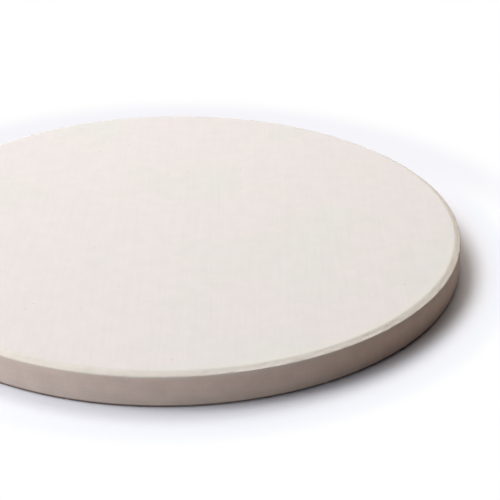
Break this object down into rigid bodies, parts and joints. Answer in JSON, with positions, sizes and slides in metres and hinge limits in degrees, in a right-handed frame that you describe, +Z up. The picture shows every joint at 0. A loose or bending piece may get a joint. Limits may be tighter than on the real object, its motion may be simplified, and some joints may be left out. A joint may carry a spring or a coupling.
{
  "type": "pizza stone",
  "caption": "Round flat baking stone of unglazed cream ceramic, with a shallow bevel round its baking face; it stores oven heat and crisps what is baked on it.",
  "frame": {"origin": "middle of the flat underside, on the surface that the stone rests on", "axes": "+Z up, along the disc's axis and out of the baking face; +X to the right and +Y to the back in the picture"},
  "size_m": [0.33, 0.33, 0.019],
  "materials": {
    "fired_clay": "matt, unglazed, finely grained"
  },
  "bodies": {
    "root": {"baking_stone": "fired_clay"}
  },
  "joints": []
}
